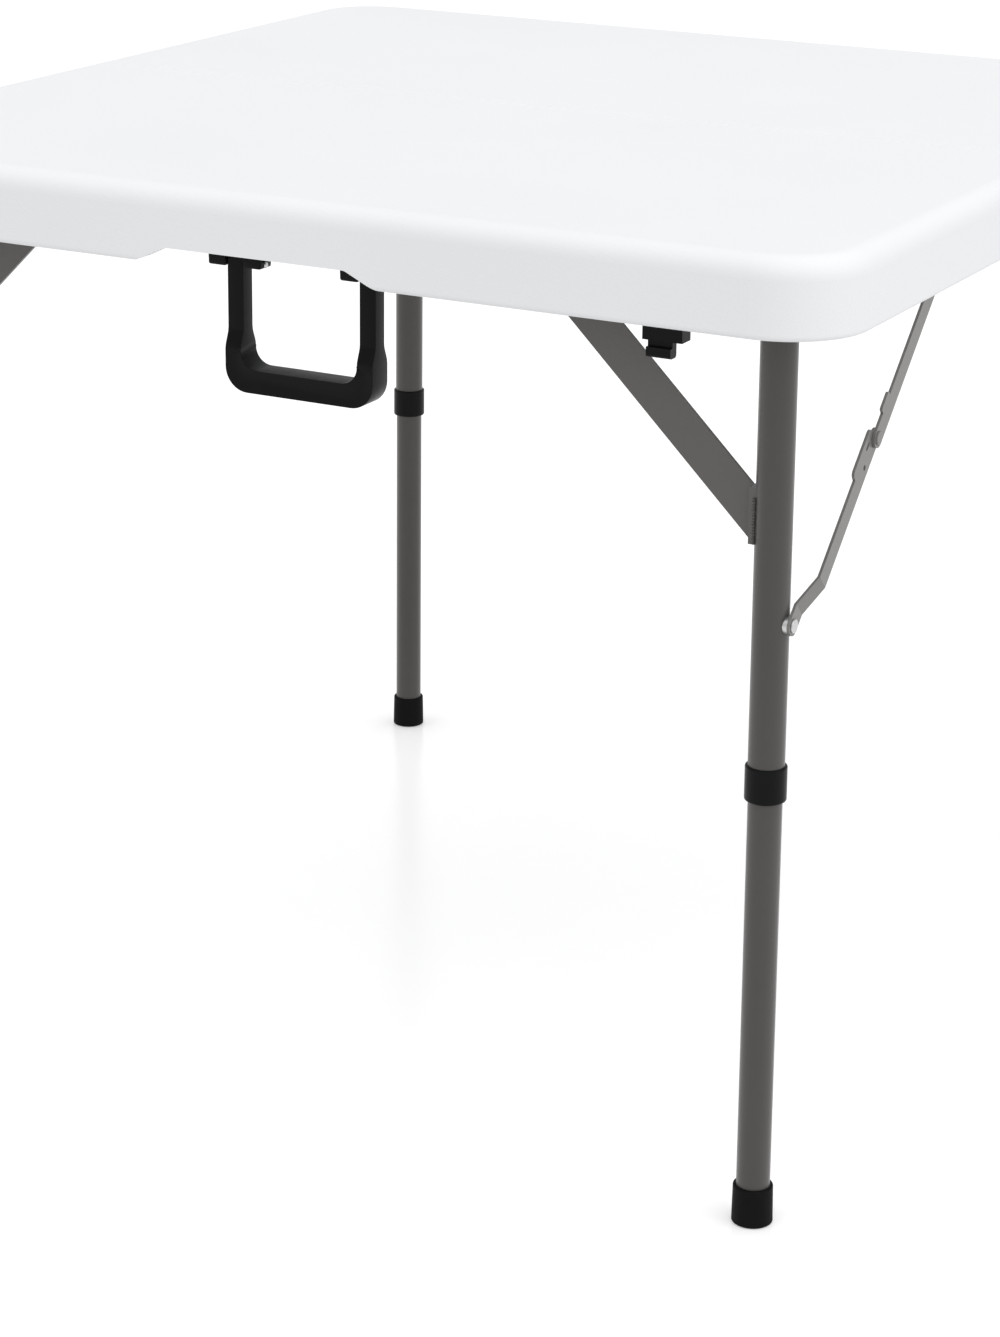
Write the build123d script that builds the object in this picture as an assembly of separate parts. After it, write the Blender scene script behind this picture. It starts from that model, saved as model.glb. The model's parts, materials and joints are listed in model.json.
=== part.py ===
"""Square folding table: two hinged half tops, folding leg frames with telescoping legs, locking stays,
a carry handle and closing latches. Millimetres, +Z up, origin on the floor under the middle of the top.
The seam between the halves runs along X. The near half, with the handle, is on the -Y side."""

import os
from math import atan2, cos, degrees, hypot, radians, sin

from build123d import *

# Overall sizes
top_width = 864.0
table_height = 700.0

# Half tops
rim_height = 55.0
rim_width = 18.0
seam_rim_width = 14.0
seam_gap = 1.0
slab_thickness = 20.0
corner_radius = 60.0
top_edge_radius = 15.0
rim_foot_radius = 4.0
seam_edge_chamfer = 1.5
foot_gap_room = 4.0
bay_corner_radius = 22.0
dimple_pitch = 74.0
dimple_mouth_radius = 11.0
dimple_tip_radius = 6.0
dimple_depth = 14.0
dimple_margin = 30.0

# Hand notch in the outer rim of each half
notch_mouth = 196.0
notch_width = 146.0
notch_height = 12.0
notch_inner_radius = 9.0
notch_outer_radius = 14.0

# Seam hinges
hinge_inset = 192.0
hinge_width = 60.0
hinge_pin_radius = 2.2
hinge_knuckle_radius = 4.0
hinge_leaf_thickness = 2.0
hinge_leaf_height = 27.0
hinge_pin_drop = 0.5
hinge_pocket_room = 1.0
hinge_knuckle_play = 0.3

# Leg frames
leg_inset = 51.0
near_leg_side_inset = 59.0
far_leg_side_inset = 96.0
leg_tube_radius = 12.7
leg_tube_wall = 0.7
leg_top_rise = 12.0
pivot_drop = 39.0
crossbar_radius = 9.5
crossbar_wall = 1.2
gusset_width = 28.0
gusset_thickness = 3.0
gusset_leg_drop = 161.0
gusset_reach = 150.0
gusset_flange_width = 15.0
gusset_flange_thickness = 2.5

# Telescoping lower legs
collar_bottom = 315.0
collar_height = 25.0
collar_radius = 14.5
collar_lip = 12.0
lower_tube_radius = 11.9
lower_tube_wall = 1.2
lower_tube_lap = 35.0
slide_clearance = 0.1
foot_height = 28.0
foot_radius = 14.6
foot_taper = 0.5
foot_sole = 5.0
foot_edge_radius = 2.0

# Pivot brackets that carry the crossbars
bracket_gap = 2.0
bracket_width = 16.0
bracket_plate = 6.0
bracket_half_length = 25.0
bracket_wall = 4.0
bracket_screw_offset = 19.0
running_clearance = 0.1

# Locking stays, two links on the outside of each leg
stay_pin_drop = 220.0
stay_reach = 236.0
stay_width = 14.0
stay_thickness = 2.0
stay_spacer = 1.5
stay_gap = 0.2
stay_pin_radius = 3.0
stay_head_radius = 5.0
stay_head_height = 1.2
stay_spacer_radius = 6.5
stay_joggle = 9.0
stay_joggle_start = 13.0
stay_joggle_end = 36.0
stay_catch_length = 40.0
stay_catch_lift = 6.0
stay_catch_radius = 4.5
stay_catch_hole = 25.0
stay_catch_hole_radius = 2.0
stay_catch_slot = 7.0
stay_catch_slot_width = 2.6
stay_catch_slot_place = 12.0
stay_lock_place = 24.0
stay_lock_length = 16.0
stay_lock_lift = 6.0
stay_lock_root = 4.0
stay_lock_radius = 2.0
stay_bracket_length = 40.0
stay_bracket_reach = 16.0

# Carry handle
handle_y = 362.0
handle_pivot_drop = 1.0
handle_width = 122.0
handle_length = 101.0
handle_arm_width = 13.0
handle_arm_depth = 12.0
handle_grip_depth = 21.0
handle_grip_height = 17.0
handle_grip_reach = 30.0
handle_corner_radius = 24.0
handle_inner_radius = 14.0
handle_edge_radius = 2.5
handle_hub_radius = 6.0
handle_pin_radius = 2.2
handle_base_width = 44.0
handle_base_depth = 18.0
handle_base_room = 0.4
handle_base_drop = 5.5
handle_base_radius = 3.0

# Closing latches on the near rim and their keepers on the far rim
latch_inset = 128.5
latch_width = 29.0
latch_depth = 15.0
latch_top_room = 6.0
latch_body_drop = 13.0
latch_end_wall = 2.0
latch_roof = 8.0
latch_slot = 7.0
latch_hook_width = 18.0
latch_hook_drop = 25.0
latch_barb_height = 7.0
latch_barb_reach = 3.0
latch_clearance = 0.4
latch_edge_radius = 2.0
latch_relief = 0.6
keeper_width = 11.0
keeper_catch = 5.0
keeper_depth = 3.5
keeper_height = 3.0
keeper_room = 1.0
keeper_edge_radius = 1.0

# Screws
screw_radius = 2.0
screw_head_radius = 4.0
screw_head_height = 2.4
screw_head_crown = 1.4
screw_depth = 9.0

# Places worked out from the sizes above
half_depth = top_width / 2
rim_bottom = table_height - rim_height
bay_ceiling = table_height - slab_thickness
rim_inner = half_depth - rim_width
leg_y = -(half_depth - leg_inset)
near_leg_x = half_depth - near_leg_side_inset
far_leg_x = half_depth - far_leg_side_inset
hinge_x = half_depth - hinge_inset
latch_x = half_depth - latch_inset
pivot_z = table_height - pivot_drop
hinge_z = rim_bottom - hinge_pin_drop
collar_top = collar_bottom + collar_height
upper_tube_bottom = collar_bottom + collar_lip
stay_pin_z = pivot_z - stay_pin_drop
stay_eye_y = leg_y + stay_reach
stay_span = hypot(stay_pin_drop, stay_reach)
stay_upper_length = (stay_span + stay_reach - stay_pin_drop) / 2
stay_lower_length = stay_span - stay_upper_length
stay_angle = degrees(atan2(stay_pin_drop, stay_reach))
handle_pivot_z = rim_bottom - handle_pivot_drop

parts = {}


def rod(start, end, radius, bore=0.0):
    """A round bar, or a tube where a bore is given, from one point to another."""
    line = Vector(*end) - Vector(*start)
    plane = Plane(origin=start, z_dir=line)
    bar = extrude(plane * Circle(radius), line.length)
    return bar - extrude(plane * Circle(bore), line.length) if bore else bar


def block(low, high):
    """A box between two corners."""
    size = [b - a for a, b in zip(low, high)]
    middle = [(a + b) / 2 for a, b in zip(low, high)]
    return Pos(*middle) * Box(*size)


def screw(seat, way, length=screw_depth):
    """A dome-headed screw whose head sits at seat and whose shank runs along way."""
    way = Vector(*way)
    seat = Vector(*seat)
    head = extrude(Plane(origin=seat, z_dir=-way) * Circle(screw_head_radius), screw_head_height)
    crown = head.faces().sort_by(Axis(tuple(seat), tuple(-way)))[-1]
    head = fillet(crown.edges(), screw_head_crown)
    return head + extrude(Plane(origin=seat, z_dir=way) * Circle(screw_radius), length)


def screw_holes(seats, way=(0, 0, 1), length=screw_depth):
    """The holes that screws' shanks fill."""
    holes = Part()
    for seat in seats:
        end = Vector(*seat) + Vector(*way) * length
        holes += rod(seat, tuple(end), screw_radius)
    return holes


def save(name, shape, turned=False):
    """Keeps a piece under its name, turned about Z where it belongs to the far half."""
    parts[name] = Rot(0, 0, 180) * shape if turned else shape


def side_name(x, turned):
    """Left or right, by where a piece at x stands once it is turned to its half."""
    return "right" if (x > 0) != turned else "left"


def notch_cutter():
    """The hand notch, with a flared mouth, as a bar through the outer rim."""
    foot, top = rim_bottom, rim_bottom + notch_height
    reach, below = notch_mouth, rim_bottom - notch_height
    outline = Polyline(
        (-reach, below), (reach, below), (reach, foot), (notch_mouth / 2, foot), (notch_width / 2, top),
        (-notch_width / 2, top), (-notch_mouth / 2, foot), (-reach, foot), close=True,
    )
    face = make_face(outline)
    uppers = [v for v in face.vertices() if abs(v.Y - top) < 0.1]
    face = fillet(uppers, notch_inner_radius)
    mouths = [v for v in face.vertices() if abs(v.Y - foot) < 0.1 and abs(v.X) < reach - 1]
    face = fillet(mouths, notch_outer_radius)
    return extrude(Plane.XZ.offset(rim_inner - 2) * face, rim_width + 4)


def half_shell():
    """The moulded half top at its near place: slab, outer rim, seam rim, leg bay and hand notch."""
    seam_y = -seam_gap / 2
    depth = half_depth + seam_y
    plan = Pos(0, -half_depth + depth / 2) * Rectangle(top_width, depth)
    plan = fillet(plan.vertices().group_by(Axis.Y)[0], corner_radius)
    shell = extrude(Plane.XY.offset(rim_bottom) * plan, rim_height)
    seam_face = shell.faces().sort_by(Axis.Y)[-1]
    on_seam = lambda e: abs(e.center().Y - seam_face.center().Y) < 0.01
    top_edges = [e for e in shell.edges().group_by(Axis.Z)[-1] if not on_seam(e)]
    shell = fillet(top_edges, top_edge_radius)
    bottom_edges = [e for e in shell.edges().group_by(Axis.Z)[0] if not on_seam(e)]
    shell = fillet(bottom_edges, rim_foot_radius)
    top_seam = shell.faces().sort_by(Axis.Y)[-1].edges().sort_by(Axis.Z)[-1]
    shell = chamfer(top_seam, seam_edge_chamfer)

    bay_depth = rim_inner - seam_rim_width
    bay = Pos(0, -seam_rim_width - bay_depth / 2) * Rectangle(2 * rim_inner, bay_depth)
    bay = fillet(bay.vertices().group_by(Axis.Y)[0], bay_corner_radius)
    shell -= extrude(Plane.XY.offset(rim_bottom) * bay, bay_ceiling - rim_bottom)
    return shell - notch_cutter() - foot_gaps()


def foot_gaps():
    """Gaps in the seam rim that the feet of both frames pass through as the table folds."""
    inner = far_leg_x - foot_radius - foot_gap_room
    outer = near_leg_x + foot_radius + foot_gap_room
    gaps = Part()
    for side in (-1, 1):
        low, high = sorted((side * inner, side * outer))
        gaps += block((low, -seam_rim_width, rim_bottom), (high, 0, bay_ceiling))
    return gaps


def hinge_pockets():
    """Room in the seam rim for the hinge knuckles and the leaves let into its foot."""
    cut = Part()
    reach = hinge_width / 2 + hinge_pocket_room
    knuckle = hinge_knuckle_radius + hinge_pocket_room
    for x in (-hinge_x, hinge_x):
        low, high = x - reach, x + reach
        cut += block((low, -knuckle, rim_bottom - 1), (high, 0, hinge_z + knuckle))
        cut += block((low, -seam_rim_width, rim_bottom - 1), (high, 0, rim_bottom + hinge_leaf_thickness))
    return cut


def dimples(clear_of):
    """Dimples that tie the slab's two skins together, spread over the leg bay away from fixings."""
    spread_x = 2 * (rim_inner - dimple_margin)
    spread_y = rim_inner - seam_rim_width - 2 * dimple_margin
    across = int(spread_x // dimple_pitch)
    along = int(spread_y // dimple_pitch)
    middle_y = -(rim_inner + seam_rim_width) / 2
    standing = (Align.CENTER, Align.CENTER, Align.MIN)
    cone = Cone(dimple_mouth_radius, dimple_tip_radius, dimple_depth, align=standing)
    found = []
    for i in range(across + 1):
        for j in range(along + 1):
            x = (i - across / 2) * dimple_pitch
            y = middle_y + (j - along / 2) * dimple_pitch
            if all(abs(x - cx) > dx or abs(y - cy) > dy for cx, cy, dx, dy in clear_of):
                found.append(Pos(x, y, bay_ceiling) * cone)
    return found


def stay_plane(leg_x):
    """The X where the lower link's inner face lies, outside a leg."""
    return leg_x + leg_tube_radius + stay_spacer


def upper_link_x(leg_x):
    """The X where the upper link's inner face lies, against the lower link's joggled strip."""
    return stay_plane(leg_x) + stay_joggle + stay_thickness + 2 * stay_gap


def stay_ear_x(leg_x):
    """The X where the ear of the upper link's bracket starts."""
    return upper_link_x(leg_x) + stay_thickness + stay_gap


def pivot_bracket_x(leg_x):
    """The X range of the bracket that holds the crossbar beside a leg."""
    start = leg_x + foot_radius + bracket_gap
    return start, start + bracket_width


def pivot_bracket(leg_x):
    """A saddle screwed under the slab, with the bore that the crossbar turns in."""
    start, end = pivot_bracket_x(leg_x)
    bore = crossbar_radius + running_clearance
    plate = block(
        (start, leg_y - bracket_half_length, bay_ceiling - bracket_plate),
        (end, leg_y + bracket_half_length, bay_ceiling),
    )
    hub = rod((start, leg_y, pivot_z), (end, leg_y, pivot_z), bore + bracket_wall)
    reach = bore + bracket_wall
    neck = block((start, leg_y - reach, pivot_z), (end, leg_y + reach, bay_ceiling))
    saddle = plate + hub + neck - rod((start, leg_y, pivot_z), (end, leg_y, pivot_z), bore)
    at_ends = lambda e: abs(e.center().Y - leg_y) > bracket_half_length - 1
    corners = saddle.edges().filter_by(Axis.Z).filter_by(at_ends)
    return fillet(corners, bracket_plate / 2) - screw_holes(pivot_bracket_screws(leg_x))


def pivot_bracket_screws(leg_x):
    """Where the saddle's two screws sit."""
    middle = sum(pivot_bracket_x(leg_x)) / 2
    return [(middle, leg_y + s * bracket_screw_offset, bay_ceiling - bracket_plate) for s in (-1, 1)]


def stay_bracket(leg_x):
    """An angle under the slab whose ear holds the upper link's eye."""
    inner = stay_ear_x(leg_x)
    outer = inner + stay_thickness
    half = stay_bracket_length / 2
    radius = stay_width / 2
    ear = block((inner, stay_eye_y - radius, pivot_z), (outer, stay_eye_y + radius, bay_ceiling))
    ear += rod((inner, stay_eye_y, pivot_z), (outer, stay_eye_y, pivot_z), radius)
    plate = block(
        (outer - stay_bracket_reach, stay_eye_y - half, bay_ceiling - stay_thickness),
        (outer, stay_eye_y + half, bay_ceiling),
    )
    eye = rod((inner, stay_eye_y, pivot_z), (outer, stay_eye_y, pivot_z), stay_pin_radius)
    return ear + plate - eye - screw_holes(stay_bracket_screws(leg_x))


def stay_bracket_screws(leg_x):
    """Where the angle's two screws sit."""
    offset = stay_bracket_length / 2 - screw_head_radius - 2
    x = stay_ear_x(leg_x) + stay_thickness - stay_bracket_reach + screw_head_radius + 2
    return [(x, stay_eye_y + s * offset, bay_ceiling - stay_thickness) for s in (-1, 1)]


def rivet_head(x, y, z, outward):
    """A low round rivet head on the face at x, standing out along +X or -X."""
    head = rod((x, y, z), (x + outward * stay_head_height, y, z), stay_head_radius)
    crown = head.faces().filter_by(GeomType.PLANE).sort_by(Axis.X)[-1 if outward > 0 else 0]
    return fillet(crown.edges(), stay_head_height * 0.6)


def eye_rivet(leg_x):
    """The rivet that joins the upper link to the bracket's ear."""
    inner = upper_link_x(leg_x) - stay_gap
    outer = stay_ear_x(leg_x) + stay_thickness
    shank = rod((inner, stay_eye_y, pivot_z), (outer, stay_eye_y, pivot_z), stay_pin_radius)
    heads = rivet_head(inner, stay_eye_y, pivot_z, -1) + rivet_head(outer, stay_eye_y, pivot_z, 1)
    return shank + heads


def leg_pin(leg_x):
    """The stay's pin on the leg: a saddle spacer against the tube, a shank and a head."""
    face = stay_plane(leg_x)
    centre = (leg_x + leg_tube_radius / 2, leg_y, stay_pin_z)
    pin = rod(centre, (face, leg_y, stay_pin_z), stay_spacer_radius)
    reach = 2 * stay_spacer_radius
    pin -= rod((leg_x, leg_y, stay_pin_z - reach), (leg_x, leg_y, stay_pin_z + reach), leg_tube_radius)
    outer = face + stay_thickness + 2 * stay_gap
    pin += rod((face, leg_y, stay_pin_z), (outer, leg_y, stay_pin_z), stay_pin_radius)
    return pin + rivet_head(outer, leg_y, stay_pin_z, 1)


def stay_frame(eye_y, eye_z, direction, x):
    """A link's own plane at x: its eye at the origin, its length along local X, degrees from +Y."""
    turn = radians(direction)
    return Plane(origin=(x, eye_y, eye_z), x_dir=(0, cos(turn), sin(turn)), z_dir=(1, 0, 0))


def lower_link_strip(length):
    """The lower link's outline: a strip with a catch plate, slot and hole below the knee."""
    strip = Pos(length / 2, 0) * SlotCenterToCenter(length, stay_width)
    middle = length - stay_catch_length / 2
    catch = Pos(middle, stay_catch_lift / 2) * Rectangle(stay_catch_length, stay_width + stay_catch_lift)
    outer = catch.vertices().group_by(Axis.Y)[-1]
    strip += fillet(outer, stay_catch_radius)
    slot_place = Pos(length - stay_catch_slot_place, stay_width / 2)
    strip -= slot_place * SlotOverall(stay_catch_slot, stay_catch_slot_width)
    strip -= Pos(length - stay_catch_hole, 0) * Circle(stay_catch_hole_radius)
    return strip - Circle(stay_pin_radius + running_clearance)


def upper_link_strip(length):
    """The upper link's outline: a strip with a lock tab above the knee."""
    strip = Pos(length / 2, 0) * SlotCenterToCenter(length, stay_width)
    lift = stay_lock_root - stay_width / 2 - stay_lock_lift / 2
    tab = Pos(length - stay_lock_place, lift) * Rectangle(stay_lock_length, stay_lock_lift + stay_lock_root)
    strip += fillet(tab.vertices(), stay_lock_radius)
    return strip - Circle(stay_pin_radius + running_clearance)


def lower_link(eye, length, x):
    """The lower link: flat against the leg at its eye, then joggled outwards clear of the pin's head."""
    plane = stay_frame(*eye, stay_angle, x)
    past = length + stay_width
    bends = (-past, 0), (stay_joggle_start, 0), (stay_joggle_end, stay_joggle), (past, stay_joggle)
    back = [(along, out + stay_thickness) for along, out in reversed(bends)]
    side = make_face(Polyline(*bends, *back, close=True))
    profile = Plane(origin=plane.origin, x_dir=plane.x_dir, z_dir=-plane.y_dir)
    sheet = extrude(profile * side, past, both=True)
    return sheet & extrude(plane * lower_link_strip(length), stay_joggle + stay_thickness)


def stay_links(leg_x):
    """The two links at rest, in one line. Each carries its own half of the rivet at the knee."""
    low, high = stay_plane(leg_x) + stay_gap, upper_link_x(leg_x)
    along = Vector(0, stay_reach, stay_pin_drop).normalized() * stay_lower_length
    knee = Vector(0, leg_y, stay_pin_z) + along
    lower = lower_link((leg_y, stay_pin_z), stay_lower_length, low)
    lower += rivet_head(low + stay_joggle, knee.Y, knee.Z, -1)
    upper_plane = stay_frame(stay_eye_y, pivot_z, 180 + stay_angle, high)
    upper = extrude(upper_plane * upper_link_strip(stay_upper_length), stay_thickness)
    upper += rivet_head(high + stay_thickness, knee.Y, knee.Z, 1)
    return lower, upper


def upper_leg(x):
    """The outer tube of a leg, pierced at its top by the crossbar."""
    low, high = (x, leg_y, upper_tube_bottom), (x, leg_y, pivot_z + leg_top_rise)
    tube = rod(low, high, leg_tube_radius, leg_tube_radius - leg_tube_wall)
    reach = 2 * leg_tube_radius
    return tube - rod((x - reach, leg_y, pivot_z), (x + reach, leg_y, pivot_z), crossbar_radius)


def collar(x):
    """The friction collar where the lower leg slides into the upper one."""
    ring = rod((x, leg_y, collar_bottom), (x, leg_y, collar_top), collar_radius)
    ring = fillet(ring.edges().filter_by(GeomType.CIRCLE), (collar_radius - leg_tube_radius) * 0.7)
    ring -= rod((x, leg_y, upper_tube_bottom), (x, leg_y, collar_top), leg_tube_radius)
    bore = lower_tube_radius + slide_clearance
    return ring - rod((x, leg_y, collar_bottom), (x, leg_y, collar_top), bore)


def lower_leg(x):
    """The inner tube of a leg."""
    top = upper_tube_bottom + lower_tube_lap
    bore = lower_tube_radius - lower_tube_wall
    return rod((x, leg_y, foot_sole), (x, leg_y, top), lower_tube_radius, bore)


def foot(x):
    """The rubber cup on the end of a leg."""
    standing = (Align.CENTER, Align.CENTER, Align.MIN)
    cup = Cone(foot_radius, foot_radius - foot_taper, foot_height, align=standing)
    cup = fillet(cup.edges().filter_by(GeomType.CIRCLE), foot_edge_radius / 2)
    return Pos(x, leg_y, 0) * cup - rod((x, leg_y, foot_sole), (x, leg_y, foot_height), lower_tube_radius)


def gusset(leg_x, side):
    """A flat diagonal bar from the leg to the crossbar, coped to both tubes."""
    low = Vector(leg_x, leg_y, pivot_z - gusset_leg_drop)
    high = Vector(leg_x - gusset_reach - leg_tube_radius, leg_y, pivot_z)
    line = high - low
    plane = Plane(origin=low, x_dir=line, z_dir=(0, 1, 0))
    strip = Pos(line.length / 2, 0) * Rectangle(line.length, gusset_width)
    bar = extrude(plane * strip, gusset_thickness / 2, both=True)
    past, back, front = leg_x + 2 * gusset_width, leg_y - gusset_width, leg_y + gusset_width
    inner = leg_x - leg_tube_radius - gusset_flange_thickness
    half_run = gusset_width / 2 * line.length / abs(line.X)
    middle = low.Z + (leg_x - inner) * line.Z / abs(line.X)
    flange = block(
        (inner, leg_y - gusset_flange_width / 2, middle - half_run),
        (leg_x, leg_y + gusset_flange_width / 2, middle + half_run),
    )
    bar += flange
    bar -= rod((leg_x, leg_y, 0), (leg_x, leg_y, table_height), leg_tube_radius)
    bar -= block((leg_x, back, 0), (past, front, table_height))
    bar -= block((0, back, pivot_z), (past, front, table_height))
    bar -= rod((0, leg_y, pivot_z), (past, leg_y, pivot_z), crossbar_radius)
    bar = bar.solids().sort_by(SortBy.VOLUME)[-1]
    return bar if side > 0 else mirror(bar, about=Plane.YZ)


def add_leg_frame(half, leg_x, turned):
    """One leg frame: crossbar, legs, gussets, collars, lower legs, feet, stays and their brackets."""
    end = pivot_bracket_x(leg_x)[1] + 1
    bore = crossbar_radius - crossbar_wall
    bar = rod((-end, leg_y, pivot_z), (end, leg_y, pivot_z), crossbar_radius, bore)
    save(f"{half}_crossbar", bar, turned)
    pins, brackets, rivets, screws = [], [], [], []
    flip = lambda shape, side: shape if side > 0 else mirror(shape, about=Plane.YZ)
    lower, upper = stay_links(leg_x)
    for side in (-1, 1):
        x = side * leg_x
        name = f"{half}_{side_name(x, turned)}"
        save(f"{name}_upper_leg", upper_leg(x), turned)
        save(f"{name}_collar", collar(x), turned)
        save(f"{name}_lower_leg", lower_leg(x), turned)
        save(f"{name}_foot", foot(x), turned)
        save(f"{name}_gusset", gusset(leg_x, side), turned)
        save(f"{name}_pivot_bracket", flip(pivot_bracket(leg_x), side), turned)
        save(f"{name}_lower_link", flip(lower, side), turned)
        save(f"{name}_upper_link", flip(upper, side), turned)
        pins.append(flip(leg_pin(leg_x), side))
        brackets.append(flip(stay_bracket(leg_x), side))
        rivets.append(flip(eye_rivet(leg_x), side))
        seats = pivot_bracket_screws(leg_x) + stay_bracket_screws(leg_x)
        screws += [(side * px, py, pz) for px, py, pz in seats]
    save(f"{half}_stay_pins", Compound(children=pins), turned)
    save(f"{half}_stay_brackets", Compound(children=brackets), turned)
    save(f"{half}_stay_rivets", Compound(children=rivets), turned)
    return screws


def hinge_leaf(x, knuckles):
    """A hinge leaf: a flange on the seam rim, a strip under its foot and knuckles round the pin."""
    half = hinge_width / 2
    corner = (x - half, -seam_rim_width - hinge_leaf_thickness, rim_bottom)
    strip = block(corner, (x + half, -hinge_pin_radius, rim_bottom + hinge_leaf_thickness))
    flange = block(corner, (x + half, -seam_rim_width, rim_bottom + hinge_leaf_height))
    room = hinge_knuckle_radius + hinge_pocket_room / 2
    gap = hinge_width / 4
    keep = Part()
    clear = Part()
    for low, high in knuckles:
        keep += rod((x + low, 0, hinge_z), (x + high, 0, hinge_z), hinge_knuckle_radius)
    for low, high in ((-half, -gap), (-gap, gap), (gap, half)):
        if (low, high) not in knuckles:
            clear += rod((x + low, 0, hinge_z), (x + high, 0, hinge_z), room)
    return strip + flange + keep - clear - screw_holes(hinge_screws(), (0, 1, 0))


def add_hinges():
    """Two seam hinges: near leaves with the outer knuckles, far leaves with the middle one, and pins."""
    half, gap, play = hinge_width / 2, hinge_width / 4, hinge_knuckle_play
    room = hinge_knuckle_radius + hinge_pocket_room / 2
    pins = []
    for x in (-hinge_x, hinge_x):
        bore = rod((x - half, 0, hinge_z), (x + half, 0, hinge_z), hinge_pin_radius + running_clearance)
        near = hinge_leaf(x, [(-half, -gap), (gap, half)]) - bore
        far = hinge_leaf(x, [(-gap, gap)]) - bore
        for low, high in ((-half, -gap + play), (gap - play, half)):
            far -= rod((x + low, 0, hinge_z), (x + high, 0, hinge_z), room)
        save(f"near_{side_name(x, False)}_hinge_leaf", near)
        save(f"far_{side_name(x, True)}_hinge_leaf", far, True)
        pins.append(rod((x - half, 0, hinge_z), (x + half, 0, hinge_z), hinge_pin_radius))
    save("hinge_pins", Compound(children=pins))


def hinge_screws():
    """Where the leaf flanges' screws sit, and their way into the seam rim."""
    z = rim_bottom + hinge_leaf_height - screw_head_radius - 3
    y = -seam_rim_width - hinge_leaf_thickness
    offset = hinge_width / 2 - screw_head_radius - 4
    return [(x + s * offset, y, z) for x in (-hinge_x, hinge_x) for s in (-1, 1)]


def handle():
    """The U-shaped carry handle, hanging from its two pins, with a deeper grip."""
    half = handle_width / 2
    top = handle_pivot_z
    low = top - handle_length
    outer = Pos(0, (top + low) / 2) * Rectangle(handle_width, handle_length)
    outer = fillet(outer.vertices().group_by(Axis.Y)[0], handle_corner_radius)
    hole_low = low + handle_grip_height
    hole = Pos(0, (top + hole_low) / 2) * Rectangle(handle_width - 2 * handle_arm_width, top - hole_low)
    hole = fillet(hole.vertices().group_by(Axis.Y)[0], handle_inner_radius)
    loop = outer - hole
    plane = Plane.XZ.offset(handle_y)
    bail = extrude(plane * loop, handle_arm_depth / 2, both=True)
    grip_zone = Pos(0, low + handle_grip_reach / 2) * Rectangle(2 * handle_width, handle_grip_reach)
    grip = extrude(plane * (loop & grip_zone), handle_grip_depth / 2, both=True)
    on_faces = lambda e: abs(abs(e.center().Y + handle_y) - handle_grip_depth / 2) < 0.01
    grip = fillet(grip.edges().filter_by(on_faces), handle_edge_radius)
    bail += grip
    for side in (-1, 1):
        inner, outer = side * (half - handle_arm_width), side * half
        ends = (inner, -handle_y, top), (outer, -handle_y, top)
        bail += rod(*ends, handle_hub_radius)
        bail -= rod(*ends, handle_pin_radius + running_clearance)
    return bail


def handle_base(side):
    """A moulded clevis under the slab that holds one arm's pin."""
    middle = side * (handle_width - handle_arm_width) / 2
    half = handle_base_width / 2
    low, high = middle - half, middle + half
    back, front = -handle_y - handle_base_depth / 2, -handle_y + handle_base_depth / 2
    bottom = handle_pivot_z - handle_base_drop
    base = block((low, back, bottom), (high, front, bay_ceiling))
    base = fillet(base.edges().filter_by(Axis.Z), handle_base_radius)
    slot = handle_arm_width / 2 + handle_base_room
    slot_top = handle_pivot_z + handle_hub_radius + handle_base_room
    base -= block((middle - slot, back, bottom), (middle + slot, front, slot_top))
    base -= rod((low, -handle_y, handle_pivot_z), (high, -handle_y, handle_pivot_z), handle_pin_radius)
    for x, y, z in handle_base_screws(side):
        base -= rod((x, y, bottom), (x, y, z), screw_head_radius)
        base -= rod((x, y, z), (x, y, bay_ceiling), screw_radius)
    return base


def handle_base_screws(side):
    """Where a clevis's two screws sit, at the bottom of their wells."""
    middle = side * (handle_width - handle_arm_width) / 2
    offset = handle_base_width / 2 - screw_head_radius - 2
    return [(middle + s * offset, -handle_y, bay_ceiling - screw_depth) for s in (-1, 1)]


def add_handle():
    """The handle, its two bases and their pins."""
    save("carry_handle", handle())
    half = handle_base_width / 2
    pins = []
    for side in (-1, 1):
        middle = side * (handle_width - handle_arm_width) / 2
        save(f"handle_base_{side_name(side, False)}", handle_base(side))
        ends = (middle - half, -handle_y, handle_pivot_z), (middle + half, -handle_y, handle_pivot_z)
        pins.append(rod(*ends, handle_pin_radius))
    save("handle_pins", Compound(children=pins))


def latch_slot_box(x, room):
    """The slot inside a latch body, made larger all round by room."""
    y_mid = -rim_inner + latch_depth / 2
    half_slot = latch_slot / 2 + room
    low_x = x - latch_width / 2 + latch_end_wall
    bottom = rim_bottom - latch_body_drop
    top = bay_ceiling - latch_top_room - latch_roof
    return low_x, y_mid - half_slot, y_mid + half_slot, bottom, top


def latch_body(x):
    """The latch's housing on the inside of the near rim, slotted for its sliding hook."""
    low_x, y0, y1, bottom, top = latch_slot_box(x, 0.0)
    low, high = x - latch_width / 2, x + latch_width / 2
    body = block((low, -rim_inner, bottom), (high, -rim_inner + latch_depth, bay_ceiling - latch_top_room))
    body = fillet(body.edges().filter_by(Axis.Z).sort_by(Axis.Y)[-2:], latch_edge_radius)
    body -= block((low, -rim_inner, bottom), (high, -rim_inner + latch_relief, rim_bottom + latch_relief))
    return body - block((low_x, y0, bottom), (high - latch_end_wall, y1, top))


def hook_low_x(x):
    """The low X end of a hook in its latch."""
    return latch_slot_box(x, 0.0)[0] + latch_clearance


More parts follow.
